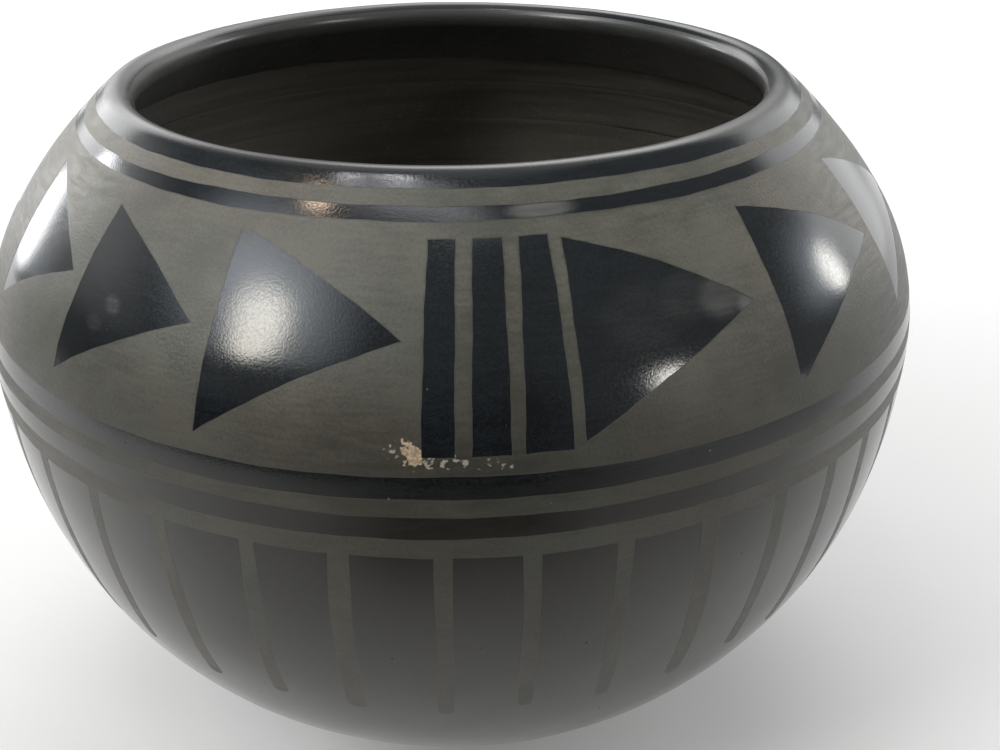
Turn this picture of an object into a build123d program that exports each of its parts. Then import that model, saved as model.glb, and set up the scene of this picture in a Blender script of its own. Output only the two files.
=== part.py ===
from build123d import *
import math
import os

# A hand-coiled blackware jar: a low wide olla with a rounded lip, built from a
# formed base and lapped coils of clay, coated with burnished slip and painted
# with a matte design. Millimetres, +Z up, origin at the centre of the foot.
# Azimuths run from the front (-Y) towards +X. Heights on the wall are distances
# along the burnished surface, from the widest line, positive towards the lip.

# Outline of the burnished surface, four arcs that run smoothly into each other
body_radius = 100.0
shoulder_radius = 48.0
shoulder_angle = 34.0
neck_radius = 110.0
belly_radius = 120.0
belly_angle = 15.0
bowl_radius = 92.0
foot_radius = 40.0
lip_distance = 60.0

# Clay
wall = 6.6
floor_thickness = 8.0
floor_round = 25.0
foot_round = 8.0
base_distance = -84.0
rim_distance = 44.0
coil_count = 8
seam_lap = 4.0

# Coats
slip = 0.4
slip_foot_gap = 5.0
mouth_slip_depth = 15.0
paint = 0.2

# Painted lines, each with its lower and upper edge
neck_line_edges = (54.2, 57.4)
field_edges = (10.6, 51.6)
waist_line_edges = (3.7, 6.8)
skirt_line_edges = (-4.1, -0.3)

# Bare bars and triangles in the shoulder field, with azimuths and angles in degrees
window_margin = 3.8
bar_groups = (3.7, 184.8)
bars_in_group = 3
bar_pitch = 5.3
bar_width = 3.3
row_gap = 1.35
tip_gap = 3.3
right_triangle_count = 7
left_triangle_count = 8

# Hanging strokes
stroke_count = 39
stroke_azimuth = -2.1
stroke_width = 3.3
stroke_end = -46.5
stroke_round = 1.2

# Values that follow from the sizes above
shoulder_length = shoulder_radius * math.radians(shoulder_angle)
belly_length = belly_radius * math.radians(belly_angle)
bowl_axis = body_radius - belly_radius + (belly_radius - bowl_radius) * math.cos(math.radians(belly_angle))
bowl_drop = (belly_radius - bowl_radius) * math.sin(math.radians(belly_angle))
widest_height = bowl_drop + math.sqrt(bowl_radius**2 - (foot_radius - bowl_axis) ** 2)
coil_height = (rim_distance - base_distance) / coil_count
clay_inside = wall - slip


def arc_at(distance):
    """Centre radius, centre height, radius and angle of the outline's arc at a distance."""
    tilt = math.radians(shoulder_angle)
    if 0 <= distance <= shoulder_length:
        return body_radius - shoulder_radius, widest_height, shoulder_radius, distance / shoulder_radius
    if distance > shoulder_length:
        centre = body_radius - shoulder_radius + (shoulder_radius - neck_radius) * math.cos(tilt)
        height = widest_height + (shoulder_radius - neck_radius) * math.sin(tilt)
        return centre, height, neck_radius, tilt + (distance - shoulder_length) / neck_radius
    if distance >= -belly_length:
        return body_radius - belly_radius, widest_height, belly_radius, distance / belly_radius
    turn = (distance + belly_length) / bowl_radius - math.radians(belly_angle)
    return bowl_axis, widest_height - bowl_drop, bowl_radius, turn


def surface(distance, depth):
    """Radius and height of a point on the wall, at a depth below the burnished surface."""
    centre, height, radius, angle = arc_at(distance)
    return centre + (radius - depth) * math.cos(angle), height + (radius - depth) * math.sin(angle)


def bowl_distance(height, depth):
    """Distance below the widest line at which the bowl, at a depth in its wall, comes down to a height."""
    turn = math.asin((widest_height - bowl_drop - height) / (bowl_radius - depth))
    return -belly_length - bowl_radius * (turn - math.radians(belly_angle))


def lip_point(turn, depth):
    """Radius and height on the lip, which turns half round from the outside to the inside."""
    centre = surface(lip_distance, wall / 2)
    angle = arc_at(lip_distance)[3] + math.radians(turn)
    reach = wall / 2 - depth
    return centre[0] + reach * math.cos(angle), centre[1] + reach * math.sin(angle)


def trace(start, end, depth):
    """Draw the wall's outline from one distance to another, one arc for each stretch of it."""
    joins = [join for join in (-belly_length, 0, shoulder_length) if min(start, end) < join < max(start, end)]
    stops = [start] + sorted(joins, reverse=start > end) + [end]
    for first, last in zip(stops, stops[1:]):
        ThreePointArc(surface(first, depth), surface((first + last) / 2, depth), surface(last, depth))


def wall_outline(low, high, outer_depth, inner_depth, lap):
    """Draw a band of the wall, whose seams climb by the lap from the outside to the inside."""
    trace(low, high, outer_depth)
    Line(surface(high, outer_depth), surface(high + lap, inner_depth))
    trace(high + lap, low + lap, inner_depth)
    Line(surface(low + lap, inner_depth), surface(low, outer_depth))


def paint_outline(edges):
    """Draw the section of a painted line that lies on the burnished surface."""
    wall_outline(edges[0], edges[1], -paint, 0, 0)


def facing(azimuth):
    """Upright plane through the axis that looks out at an azimuth."""
    across = math.cos(math.radians(azimuth))
    out = math.sin(math.radians(azimuth))
    return Plane((0, 0, 0), x_dir=(across, out, 0), z_dir=(out, -across, 0))


def window_corner(azimuth, distance, centre):
    """Place of a corner of a bare shape, seen square on from its centre's azimuth."""
    radius, height = surface(distance, 0)
    return radius * math.sin(math.radians(azimuth - centre)), height


def save(part, name):
    """Label a finished piece and write it."""
    part.label = name
    export_step(part, f"parts/{name}.step")


os.makedirs("parts", exist_ok=True)

# Formed base: foot, floor and the start of the bowl
foot_start = bowl_distance(0, slip)
floor_start = bowl_distance(floor_thickness, clay_inside)
foot_corner = surface(foot_start, slip)
floor_corner = surface(floor_start, clay_inside)
with BuildPart() as formed_base:
    with BuildSketch(Plane.XZ) as base_section:
        with BuildLine():
            Polyline((0, floor_corner[1]), (0, foot_corner[1]), foot_corner)
            trace(foot_start, base_distance, slip)
            Line(surface(base_distance, slip), surface(base_distance + seam_lap, clay_inside))
            trace(base_distance + seam_lap, floor_start, clay_inside)
            Line(floor_corner, (0, floor_corner[1]))
        make_face()
        fillet(base_section.vertices().sort_by_distance(foot_corner)[0], foot_round)
        fillet(base_section.vertices().sort_by_distance(floor_corner)[0], floor_round)
    revolve(axis=Axis.Z)
save(formed_base.part, "formed_base")

# Wall coils, from the base to the rim
for coil in range(coil_count):
    coil_low = base_distance + coil * coil_height
    with BuildPart() as wall_coil:
        with BuildSketch(Plane.XZ):
            with BuildLine():
                wall_outline(coil_low, coil_low + coil_height, slip, clay_inside, seam_lap)
            make_face()
        revolve(axis=Axis.Z)
    save(wall_coil.part, f"wall_coil_{coil + 1}")

# Rim coil, rounded over into the lip
with BuildPart() as rim_coil:
    with BuildSketch(Plane.XZ):
        with BuildLine():
            trace(rim_distance, lip_distance, slip)
            ThreePointArc(lip_point(0, slip), lip_point(90, slip), lip_point(180, slip))
            trace(lip_distance, rim_distance + seam_lap, clay_inside)
            Line(surface(rim_distance + seam_lap, clay_inside), surface(rim_distance, slip))
        make_face()
    revolve(axis=Axis.Z)
save(rim_coil.part, "rim_coil")

# Slip over the outside, from just above the foot to the crest of the lip
with BuildPart() as outer_slip:
    with BuildSketch(Plane.XZ):
        slip_low = bowl_distance(0, 0) + slip_foot_gap
        with BuildLine():
            trace(slip_low, lip_distance, 0)
            ThreePointArc(lip_point(0, 0), lip_point(45, 0), lip_point(90, 0))
            Line(lip_point(90, 0), lip_point(90, slip))
            ThreePointArc(lip_point(90, slip), lip_point(45, slip), lip_point(0, slip))
            trace(lip_distance, slip_low, slip)
            Line(surface(slip_low, slip), surface(slip_low, 0))
        make_face()
    revolve(axis=Axis.Z)
save(outer_slip.part, "outer_slip")

# Slip inside the mouth, from the crest of the lip down
with BuildPart() as mouth_slip:
    with BuildSketch(Plane.XZ):
        mouth_low = lip_distance - mouth_slip_depth
        with BuildLine():
            ThreePointArc(lip_point(90, 0), lip_point(135, 0), lip_point(180, 0))
            trace(lip_distance, mouth_low, wall)
            Line(surface(mouth_low, wall), surface(mouth_low, clay_inside))
            trace(mouth_low, lip_distance, clay_inside)
            ThreePointArc(lip_point(180, slip), lip_point(135, slip), lip_point(90, slip))
            Line(lip_point(90, slip), lip_point(90, 0))
        make_face()
    revolve(axis=Axis.Z)
save(mouth_slip.part, "mouth_slip")

# Painted lines at the neck and round the widest part
for line_name, line_edges in (
    ("neck_line", neck_line_edges),
    ("waist_line", waist_line_edges),
    ("skirt_line", skirt_line_edges),
):
    with BuildPart() as painted_line:
        with BuildSketch(Plane.XZ):
            with BuildLine():
                paint_outline(line_edges)
            make_face()
        revolve(axis=Axis.Z)
    save(painted_line.part, line_name)

# Painted field on the shoulder, with groups of bars and, between them, rows of triangles left bare
window_low = field_edges[0] + window_margin
window_high = field_edges[1] - window_margin
window_middle = (window_low + window_high) / 2
group_reach = bar_pitch * (bars_in_group - 1) / 2 + bar_width / 2
windows = []
for group in bar_groups:
    for place in range(bars_in_group):
        left = group - group_reach + bar_pitch * place
        right = left + bar_width
        windows.append([(left, window_low), (right, window_low), (right, window_high), (left, window_high)])
next_groups = (bar_groups[1], bar_groups[0] + 360)
triangle_counts = (right_triangle_count, left_triangle_count)
for group, next_group, count in zip(bar_groups, next_groups, triangle_counts):
    row_start = group + group_reach + row_gap
    triangle_pitch = (next_group - group_reach - row_start) / count
    for place in range(count):
        edge = row_start + triangle_pitch * place
        tip = edge + triangle_pitch - tip_gap
        windows.append([(edge, window_low), (tip, window_middle), (edge, window_high)])

with BuildPart() as shoulder_field:
    with BuildSketch(Plane.XZ):
        with BuildLine():
            paint_outline(field_edges)
        make_face()
    revolve(axis=Axis.Z)
    for corners in windows:
        centre = sum(azimuth for azimuth, distance in corners) / len(corners)
        with BuildSketch(facing(centre)):
            with BuildLine():
                Polyline(*[window_corner(*corner, centre) for corner in corners], close=True)
            make_face()
        extrude(amount=body_radius + 2 * paint, mode=Mode.SUBTRACT)
save(shoulder_field.part, "shoulder_field")

# Strokes that hang from the skirt line, rounded off where the brush lifted
stroke_angle = math.degrees(stroke_width / body_radius)
stroke_start = math.radians(stroke_azimuth - stroke_angle / 2)
outward = (math.sin(stroke_start), -math.cos(stroke_start), 0)
sideways = (-math.cos(stroke_start), -math.sin(stroke_start), 0)
with BuildPart() as stroke:
    with BuildSketch(Plane((0, 0, 0), x_dir=outward, z_dir=sideways)):
        with BuildLine():
            paint_outline((stroke_end, skirt_line_edges[0]))
        make_face()
    revolve(axis=Axis.Z, revolution_arc=stroke_angle)
    across_paint = stroke.edges().filter_by(lambda edge: edge.length < 2 * paint)
    fillet(across_paint.sort_by(Axis.Z)[:2], stroke_round)
with BuildPart() as hanging_strokes:
    with PolarLocations(0, stroke_count):
        add(stroke.part)
save(hanging_strokes.part, "hanging_strokes")
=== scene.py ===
import math

import bpy
import numpy as np
from mathutils import Matrix, Vector
from mathutils.geometry import delaunay_2d_cdt
from mathutils.kdtree import KDTree


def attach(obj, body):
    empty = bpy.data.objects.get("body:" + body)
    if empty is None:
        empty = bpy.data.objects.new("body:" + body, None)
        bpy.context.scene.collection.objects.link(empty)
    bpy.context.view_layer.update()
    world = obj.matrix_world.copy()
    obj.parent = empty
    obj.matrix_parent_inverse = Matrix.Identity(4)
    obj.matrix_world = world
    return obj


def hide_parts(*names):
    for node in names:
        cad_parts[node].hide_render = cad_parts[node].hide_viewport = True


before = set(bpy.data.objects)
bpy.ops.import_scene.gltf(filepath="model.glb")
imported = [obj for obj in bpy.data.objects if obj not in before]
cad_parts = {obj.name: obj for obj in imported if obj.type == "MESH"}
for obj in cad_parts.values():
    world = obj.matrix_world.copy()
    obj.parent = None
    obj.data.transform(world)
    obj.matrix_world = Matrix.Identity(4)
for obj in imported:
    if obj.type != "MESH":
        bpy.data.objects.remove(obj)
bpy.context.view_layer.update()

# The looks of a hand-coiled blackware jar: coiled clay, burnished slip and a matte painted design.
# The jar's sizes are in millimetres and its meshes are made in metres. The camera, the lamps, the floor
# and the card are given in metres. Azimuths are in degrees, from the front (-Y) towards +X. A distance
# runs along the burnished surface from the widest line, upwards.
MM = 0.001

# Outline of the burnished surface, four arcs that run smoothly into each other
BODY_RADIUS = 100.0
SHOULDER_RADIUS = 48.0
SHOULDER_TILT = math.radians(34.0)
NECK_RADIUS = 110.0
BELLY_RADIUS = 120.0
BELLY_TILT = math.radians(15.0)
BOWL_RADIUS = 92.0
FOOT_RADIUS = 40.0
LIP_DISTANCE = 60.0

# Clay
WALL = 6.6
FLOOR_THICKNESS = 8.0
FLOOR_ROUND = 25.0
FOOT_ROUND = 8.0
BASE_DISTANCE = -84.0
RIM_DISTANCE = 44.0
COIL_COUNT = 8
SEAM_LAP = 4.0
SEAM_WIDTH = 0.7
SEAM_DEPTH = 0.12

# Mesh of the clay: columns round the jar, steps between rows, rows round the rounded corners, and radius
# of the faces that close the base. On all pieces, edges that bend more than SHARP_ANGLE stay sharp.
CLAY_COLUMNS = 480
HIDDEN_STEP = 4.0
PLAIN_STEP = 2.0
BASE_OUTER_STEP = 1.3
CLAY_INNER_STEP = 0.65
RIM_TURNS = 17
FOOT_TURNS = 9
FLOOR_TURNS = 16
CENTRE_RADIUS = 1.0
SHARP_ANGLE = math.radians(38.0)

# Slip. In the mouth its lower edge tilts about an azimuth and wanders more than a painted line.
SLIP = 0.4
SLIP_SEAT = 0.02
SLIP_FOOT_GAP = 5.0
MOUTH_SLIP_DEPTH = 15.2
MOUTH_TILT = 1.8
MOUTH_TILT_AZIMUTH = 15.0
MOUTH_WANDER = 3.0
MOUTH_START = 1.7

# Mesh of the slip: columns, steps between rows, and rows round the lip, on the face and underneath
SLIP_COLUMNS = 720
SLIP_STEP = 1.1
SLIP_TURNS = 10
UNDER_STEP = 5.0
UNDER_TURNS = 6
MOUTH_ROWS = 16
MOUTH_UNDER_STRIDE = 5

# Paint: how far it stands proud and reaches in, its mesh, and how it thins out along its edges
PAINT_RISE = 0.03
PAINT_SINK = 0.03
PAINT_STEP = 1.0
EDGE_STEP = 0.6
EDGE_CLEARANCE = 0.5
EDGE_COVER = 0.55
MERGE_LIMIT = 1e-5
LINE_SHARES = np.array([0, 0.15, 0.35, 0.65, 0.85, 1])
LINE_COVER = 6.0
STROKE_COVER = 2.2

# Painted lines: name, lower and upper edge, and start of the wander. FIELD and FIELD_STARTS give the same
# for the painted field.
LINES = (("neck_line", 54.2, 57.4, 0.3), ("waist_line", 3.7, 6.8, 4.1), ("skirt_line", -4.1, -0.3, 5.2))
FIELD = (10.6, 51.6)
FIELD_STARTS = (2.2, 3.4)

# Bars left bare at the front: azimuths of the left and right edge at the top, then at the bottom. All bars
# run between the distances in BARS.
FRONT_BARS = ((-3.1, 0.0, -3.5, -0.5), (2.0, 5.3, 1.1, 4.7), (7.3, 10.6, 6.0, 10.5))
BACK_BARS = 184.8
BACK_BAR_PITCH = 5.3
BACK_BAR_WIDTH = 3.3
BARS = (13.9, 48.5)

# Triangles left bare: azimuth and distance of the upper corner, the lower corner and the tip, and how far
# the lower and the upper edge bow outwards
FRONT_TRIANGLES = (
    ((-66.3, 47.4), (-64.0, 19.5), (-48.2, 32.8), 0.2, 0.2),
    ((-45.6, 46.8), (-46.2, 15.7), (-28.4, 31.2), 0.3, 0.0),
    ((-25.5, 48.4), (-25.9, 14.0), (-5.6, 32.0), 0.3, 0.0),
    ((12.2, 47.8), (11.7, 15.0), (33.0, 31.4), 1.2, 0.1),
    ((36.4, 47.3), (36.6, 14.6), (58.5, 31.6), 0.2, 0.2),
    ((59.9, 47.8), (60.4, 15.5), (80.3, 31.6), 0.0, 0.0),
)

# Rows of triangles out of the photograph's sight: azimuths of the start and the end, and how many. Their
# corners lie at the distances in TRIANGLES.
RIGHT_ROW = (83.6, 177.9, 4)
LEFT_ROW = (193.1, 286.0, 5)
TIP_GAP = 3.3
TRIANGLES = (14.6, 48.0)
TRIANGLE_TIP = 31.6

# Hanging strokes at the front: azimuth at the top, lean towards the bottom in degrees, and width
FRONT_STROKES = (
    (-50.0, -0.2, 3.1), (-40.3, -1.4, 2.9), (-30.8, -0.4, 3.1), (-20.7, -1.1, 3.1),
    (-11.6, -0.9, 3.9), (-1.7, -0.5, 3.1), (6.5, 0.2, 3.1), (15.5, 0.4, 3.1),
    (24.8, 0.7, 3.9), (34.0, 0.1, 3.2), (42.3, 0.1, 3.0), (49.9, 0.8, 3.1),
)
STROKE_COUNT = 39
STROKE_WIDTH = 3.3
STROKE_TOP = -2.5
STROKE_END = -46.0
STROKE_ROUND = 1.6
STROKE_STEP = 1.2
STROKE_COLUMNS = 7
STROKE_TIP_ROWS = 7
STROKE_TIP_TURN = 1.45
STROKE_TIP_NARROW = 0.97

# Changes from stroke to stroke, each a size and a pace: of the azimuth, lean and width of the unseen
# ones, and of the lower end of all of them
STROKE_SHIFT = (0.5, 3.1)
STROKE_LEAN = (0.6, 2.4)
STROKE_WIDENING = (0.35, 1.7)
STROKE_END_SHIFT = (1.1, 2.3)

# Changes along a stroke, each a size and a pace: of the brush's pressure and of its sway to the side
STROKE_PRESSURE = (0.06, 9)
STROKE_SWAY = (0.12, 7)

# Values that follow from the sizes above
SHOULDER_LENGTH = SHOULDER_RADIUS * SHOULDER_TILT
BELLY_LENGTH = BELLY_RADIUS * BELLY_TILT
SHOULDER_CENTRE = BODY_RADIUS - SHOULDER_RADIUS
NECK_CENTRE = SHOULDER_CENTRE + (SHOULDER_RADIUS - NECK_RADIUS) * math.cos(SHOULDER_TILT)
BOWL_CENTRE = BODY_RADIUS - BELLY_RADIUS + (BELLY_RADIUS - BOWL_RADIUS) * math.cos(BELLY_TILT)
BOWL_DROP = (BELLY_RADIUS - BOWL_RADIUS) * math.sin(BELLY_TILT)
WIDEST_HEIGHT = BOWL_DROP + math.sqrt(BOWL_RADIUS**2 - (FOOT_RADIUS - BOWL_CENTRE) ** 2)
NECK_HEIGHT = WIDEST_HEIGHT + (SHOULDER_RADIUS - NECK_RADIUS) * math.sin(SHOULDER_TILT)
BOWL_HEIGHT = WIDEST_HEIGHT - BOWL_DROP
CLAY_OUTSIDE = SLIP + SLIP_SEAT
CLAY_INSIDE = WALL - SLIP
COIL_HEIGHT = (RIM_DISTANCE - BASE_DISTANCE) / COIL_COUNT
FOOT_DISTANCE = -BELLY_LENGTH - BOWL_RADIUS * (math.asin(BOWL_HEIGHT / BOWL_RADIUS) - BELLY_TILT)

# Unevenness of the hand-shaped wall: depth, waves round the jar, waves per millimetre upwards, start.
# It sets in between two distances above the foot.
SWELLS = (
    (0.09, 2, 0.004, 0.4),
    (0.07, 3, -0.006, 1.9),
    (0.05, 5, 0.012, 0.8),
    (0.03, 9, -0.025, 2.6),
    (0.014, 17, 0.040, 0.9),
    (0.009, 29, -0.050, 4.0),
)
SWELL_START = (6.6, 28.6)

# Marks of the scraper inside: depth, waves round the jar, waves per millimetre upwards, start. They calm
# down by a share between two distances, and come up over a stretch above the floor.
SCRAPES = ((0.06, 3, 0.07, 0.3), (0.05, 7, 0.13, 2.2), (0.03, 5, -0.21, 1.1), (0.015, 13, 0.34, 3.9))
SCRAPE_CALM = 0.8
SCRAPE_CALM_START = (38.0, 46.0)
SCRAPE_STRETCH = 6.0

# Wander of hand-drawn lines: size, waves round the jar, start
WANDER = ((0.10, 5, 0.7), (0.06, 13, 2.9), (0.05, 31, 1.3), (0.03, 67, 4.4))
UPPER_EDGE_START = 0.6

# Waver of the brush along the edges of bars and triangles: size, pace along the edge, how many times the
# phase. The phase differs by shape and by edge, and the waver fades out towards the corners.
WAVERS = ((0.06, 0.35, 1), (0.03, 1.1, 2))
SHAPE_PHASE = 2.1
EDGE_PHASE = 1.3
WAVER_FADE = 2.0

# The field is laid out flat as a fan about this distance, where straight brush lines stay straight
FAN_MIDDLE = 110.0


def outline(distance):
    """Centre radius, centre height, radius and angle of the outline's arc at each distance."""
    distance = np.asarray(distance, float)
    neck = SHOULDER_TILT + (distance - SHOULDER_LENGTH) / NECK_RADIUS
    bowl = (distance + BELLY_LENGTH) / BOWL_RADIUS - BELLY_TILT
    above = [distance > SHOULDER_LENGTH, distance >= 0, distance >= -BELLY_LENGTH]
    centre = np.select(above, [NECK_CENTRE, SHOULDER_CENTRE, BODY_RADIUS - BELLY_RADIUS], BOWL_CENTRE)
    height = np.select(above, [NECK_HEIGHT, WIDEST_HEIGHT, WIDEST_HEIGHT], BOWL_HEIGHT)
    radius = np.select(above, [NECK_RADIUS, SHOULDER_RADIUS, BELLY_RADIUS], BOWL_RADIUS)
    angle = np.select(above, [neck, distance / SHOULDER_RADIUS, distance / BELLY_RADIUS], bowl)
    return centre, height, radius, angle


def around(azimuth, radius, height):
    """Points at an azimuth, a radius from the axis and a height."""
    azimuth, radius, height = np.broadcast_arrays(np.radians(azimuth), radius, height)
    return np.stack([radius * np.sin(azimuth), -radius * np.cos(azimuth), height], axis=-1)


def waves(azimuth, distance, table):
    """Sum of slow waves, each between nothing and twice its size."""
    total = 0.0
    for size, round_jar, upwards, start in table:
        phase = round_jar * np.radians(azimuth) + math.tau * upwards * distance + start
        total = total + size * (1 + np.cos(phase))
    return total


def smooth_step(value, low, high):
    """Ease from 0 at low to 1 at high."""
    share = np.clip((np.asarray(value, float) - low) / (high - low), 0, 1)
    return share * share * (3 - 2 * share)


def unevenness(azimuth, distance):
    """How far the hand-shaped surface lies inside the true outline."""
    fade = smooth_step(distance - FOOT_DISTANCE, *SWELL_START)
    return fade * waves(azimuth, distance, SWELLS)


def wall_point(azimuth, distance, depth):
    """Points in the wall, at a depth below the burnished surface."""
    centre, height, radius, angle = outline(distance)
    reach = radius - depth - unevenness(azimuth, distance)
    return around(azimuth, centre + reach * np.cos(angle), height + reach * np.sin(angle))


def lip_point(azimuth, turn, depth):
    """Points on the lip, which turns half round from the outside, 0 degrees, to the inside, 180."""
    centre, height, radius, angle = outline(LIP_DISTANCE)
    reach = radius - WALL / 2 - unevenness(azimuth, LIP_DISTANCE)
    bend = angle + np.radians(turn)
    middle = around(azimuth, centre + reach * math.cos(angle), height + reach * math.sin(angle))
    return middle + around(azimuth, (WALL / 2 - depth) * np.cos(bend), (WALL / 2 - depth) * np.sin(bend))


def wander(azimuth, start):
    """How far a hand-drawn line strays from its place."""
    turn = np.radians(azimuth)
    return sum(size * np.cos(lobes * turn + phase + start * lobes) for size, lobes, phase in WANDER)


def steps(start, end, step):
    """Evenly spaced values from start to end, about a step apart."""
    return np.linspace(start, end, max(2, round(abs(end - start) / step) + 1))


def columns(count):
    """Azimuths of the columns of a ring."""
    return np.arange(count) * 360.0 / count


def by_row(values):
    """Values for the rows of a grid, each for all of its row."""
    return values[:, None]


def dress(name, points, faces, material, node):
    """Make a piece from points in millimetres, which stands for a node of the frame."""
    mesh = bpy.data.meshes.new(name)
    mesh.from_pydata((points * MM).tolist(), [], faces)
    mesh.shade_smooth()
    mesh.set_sharp_from_angle(angle=SHARP_ANGLE)
    mesh.materials.append(material)
    piece = bpy.data.objects.new(name, mesh)
    bpy.context.scene.collection.objects.link(piece)
    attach(piece, "root")
    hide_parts(node)
    return piece


def ring_faces(rows, count):
    """Faces of a ring whose rows go round its section, up the outside and down the inside."""
    corner = np.arange(rows * count).reshape(rows, count)
    beside = np.roll(corner, -1, axis=1)
    corners = [corner, beside, np.roll(beside, -1, axis=0), np.roll(corner, -1, axis=0)]
    return np.stack(corners, axis=-1).reshape(-1, 4).tolist()


def sheet_faces(rows, count, first):
    """Faces of an open sheet of points in rows, numbered from its first point."""
    corner = first + np.arange(rows * count).reshape(rows, count)
    corners = [corner[:-1, :-1], corner[:-1, 1:], corner[1:, 1:], corner[1:, :-1]]
    return np.stack(corners, axis=-1).reshape(-1, 4).tolist()


def ring(name, grids, material, node):
    """Closed ring from grids of points, whose rows follow each other round its section."""
    grid = np.concatenate(grids)
    dress(name, grid.reshape(-1, 3), ring_faces(*grid.shape[:2]), material, node)


def scraped(azimuth, distance, low, high):
    """Depth of the inner face of a coil that was scraped flush, with a faint seam at both edges."""
    edge = np.minimum(distance - low, high - distance)
    seam = SEAM_DEPTH * (1 - smooth_step(edge, 0, SEAM_WIDTH))
    calm = 1 - SCRAPE_CALM * smooth_step(distance, *SCRAPE_CALM_START)
    return CLAY_INSIDE - seam - calm * waves(azimuth, distance, SCRAPES)


def wall_coils(material):
    """Coils of clay from the base to the rim, each lapped over the one below."""
    azimuth = columns(CLAY_COLUMNS)
    for coil in range(COIL_COUNT):
        low = BASE_DISTANCE + coil * COIL_HEIGHT
        high = low + COIL_HEIGHT
        inner_low = low + SEAM_LAP
        inner_high = high + SEAM_LAP
        outer = by_row(steps(low, high, HIDDEN_STEP))
        inner = by_row(steps(inner_high, inner_low, CLAY_INNER_STEP))
        outside = wall_point(azimuth, outer, CLAY_OUTSIDE)
        inside = wall_point(azimuth, inner, scraped(azimuth, inner, inner_low, inner_high))
        ring(f"coil_{coil + 1}_clay", [outside, inside], material, f"wall_coil_{coil + 1}")


def rim(material):
    """Last coil, rounded over to make the lip."""
    azimuth = columns(CLAY_COLUMNS)
    outer = by_row(steps(RIM_DISTANCE, LIP_DISTANCE, PLAIN_STEP)[:-1])
    turns = by_row(np.linspace(0, 180, RIM_TURNS))
    inner = by_row(steps(LIP_DISTANCE, RIM_DISTANCE + SEAM_LAP, PLAIN_STEP)[1:])
    outside = wall_point(azimuth, outer, CLAY_OUTSIDE)
    lip = lip_point(azimuth, turns, CLAY_OUTSIDE)
    inside = wall_point(azimuth, inner, CLAY_INSIDE - SLIP_SEAT)
    ring("rim_coil_clay", [outside, lip, inside], material, "rim_coil")


def bowl_corner(depth, floor_height, rounding):
    """Rounded corner between the bowl, at a depth in its wall, and a floor: turn, middle and distance."""
    reach = BOWL_RADIUS - depth - rounding
    turn = math.asin((BOWL_HEIGHT - floor_height - rounding) / reach)
    middle = BOWL_CENTRE + reach * math.cos(turn)
    return turn, middle, -BELLY_LENGTH - BOWL_RADIUS * (turn - BELLY_TILT)


def formed_base(material):
    """Floor and foot, with rounded corners where the bowl meets them."""
    azimuth = columns(CLAY_COLUMNS)
    foot_turn, foot_middle, foot_start = bowl_corner(CLAY_OUTSIDE, 0.0, FOOT_ROUND)
    floor_turn, floor_middle, floor_start = bowl_corner(CLAY_INSIDE, FLOOR_THICKNESS, FLOOR_ROUND)
    inner_high = BASE_DISTANCE + SEAM_LAP

    foot_radii = by_row(steps(CENTRE_RADIUS, foot_middle, HIDDEN_STEP)[:-1])
    foot = around(azimuth, foot_radii, 0.0)
    turns = by_row(np.linspace(math.pi / 2, foot_turn, FOOT_TURNS))
    foot_radii = foot_middle + FOOT_ROUND * np.cos(turns)
    foot_corner = around(azimuth, foot_radii, FOOT_ROUND - FOOT_ROUND * np.sin(turns))
    outer = by_row(steps(foot_start, BASE_DISTANCE, BASE_OUTER_STEP)[1:])
    outside = wall_point(azimuth, outer, CLAY_OUTSIDE)

    inner = by_row(steps(inner_high, floor_start, CLAY_INNER_STEP))
    marks = smooth_step(inner, floor_start, floor_start + SCRAPE_STRETCH)
    depth = scraped(azimuth, inner, floor_start - SEAM_WIDTH, inner_high)
    inside = wall_point(azimuth, inner, CLAY_INSIDE + marks * (depth - CLAY_INSIDE))
    turns = by_row(np.linspace(floor_turn, math.pi / 2, FLOOR_TURNS)[1:])
    floor_radii = floor_middle + FLOOR_ROUND * np.cos(turns)
    floor_heights = FLOOR_THICKNESS + FLOOR_ROUND - FLOOR_ROUND * np.sin(turns)
    floor_corner = around(azimuth, floor_radii, floor_heights)
    floor_radii = by_row(steps(floor_middle, CENTRE_RADIUS, PLAIN_STEP)[1:])
    inner_floor = around(azimuth, floor_radii, FLOOR_THICKNESS)

    # The foot and the floor are each closed in the middle by one face
    grid = np.concatenate([foot, foot_corner, outside, inside, floor_corner, inner_floor])
    rows, count = grid.shape[:2]
    faces = ring_faces(rows, count)[:-count]
    last = (rows - 1) * count
    faces.append([count - 1 - column for column in range(count)])
    faces.append([last + column for column in range(count)])
    dress("base_clay", grid.reshape(-1, 3), faces, material, "formed_base")


def outer_slip(material):
    """Burnished coat over the outside, from just above the foot to the crest of the lip."""
    azimuth = columns(SLIP_COLUMNS)
    low = FOOT_DISTANCE + SLIP_FOOT_GAP
    face = wall_point(azimuth, by_row(steps(low, LIP_DISTANCE, SLIP_STEP)[:-1]), 0.0)
    lip = lip_point(azimuth, by_row(np.linspace(0, 90, SLIP_TURNS)), 0.0)
    lip_under = lip_point(azimuth, by_row(np.linspace(90, 0, UNDER_TURNS)), SLIP)
    under = wall_point(azimuth, by_row(steps(LIP_DISTANCE, low, UNDER_STEP)[1:]), SLIP)
    ring("outer_slip_coat", [face, lip, lip_under, under], material, "outer_slip")


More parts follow.
